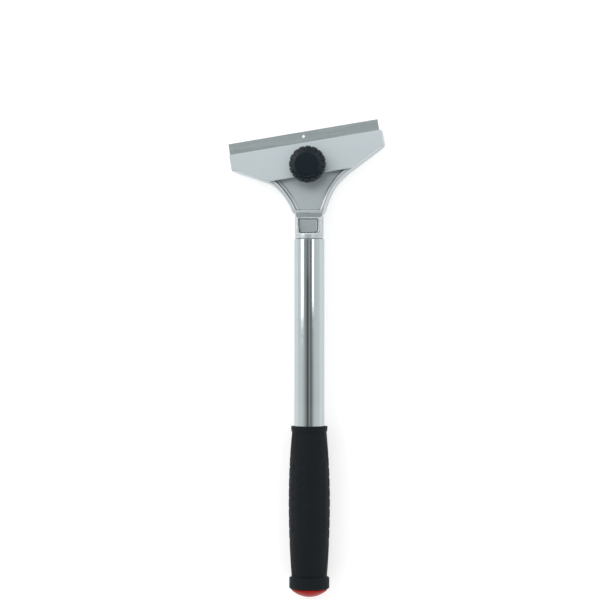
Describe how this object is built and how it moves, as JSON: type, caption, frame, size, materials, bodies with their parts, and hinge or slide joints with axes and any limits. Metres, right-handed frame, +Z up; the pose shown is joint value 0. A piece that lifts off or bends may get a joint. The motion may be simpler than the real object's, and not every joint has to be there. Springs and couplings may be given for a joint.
{
  "type": "flat scraper",
  "caption": "Long-handled flat scraper: a straight blade clamped under a knob in a skewed, slightly bent head, on a tube handle with a rubber grip.",
  "frame": {"origin": "under the middle of the bounding box, on the surface that the scraper lies on", "axes": "+Y along the handle from the end cap towards the blade, +X to the right seen from above, +Z up out of the surface; the knob is on top"},
  "size_m": [0.1036, 0.3142, 0.0272],
  "materials": {
    "silver_casting": "die-cast head with a satin silver coat",
    "satin_plate": "clamp plate, fine satin",
    "blade_steel": "ground strip steel, brushed along its length",
    "chrome_tube": "bright chrome plate",
    "zinc_fastener": "bright zinc plate",
    "black_plastic": "moulded, satin",
    "black_rubber": "moulded, with a raised pattern",
    "red_plastic": "moulded, glossy"
  },
  "bodies": {
    "frame": {"head_casting": "silver_casting", "clamp_nut": "zinc_fastener", "handle_tube": "chrome_tube", "tube_pin": "zinc_fastener", "grip": "black_rubber", "end_cap": "red_plastic"},
    "washer": {"knob_washer": "zinc_fastener"},
    "knob": {"knob": "black_plastic", "knob_bolt": "zinc_fastener"},
    "plate": {"clamp_plate": "satin_plate"},
    "blade": {"blade": "blade_steel"}
  },
  "joints": [
    {"name": "knob_spin", "type": "hinge", "parent": "washer", "child": "knob", "pos_m": [0.00194, 0.12609, 0.00983], "axis": [-0.014, 0.086, 0.9962], "range_deg": [0, 1080]},
    {"name": "clamp_lift", "type": "slide", "parent": "frame", "child": "washer", "axis": [-0.014, 0.086, 0.9962], "range_m": [0, 0.003]},
    {"name": "plate_lift", "type": "slide", "parent": "frame", "child": "plate", "axis": [-0.014, 0.086, 0.9962], "range_m": [0, 0.0031]},
    {"name": "blade_slide", "type": "slide", "parent": "frame", "child": "blade", "axis": [-0.1601, 0.9832, -0.0872], "range_m": [0, 0.02]}
  ],
  "couplings": [
    {"joint": "knob_spin", "follows": "clamp_lift", "rad_per_m": 6283.2},
    {"joint": "plate_lift", "follows": "clamp_lift", "ratio": 1}
  ]
}
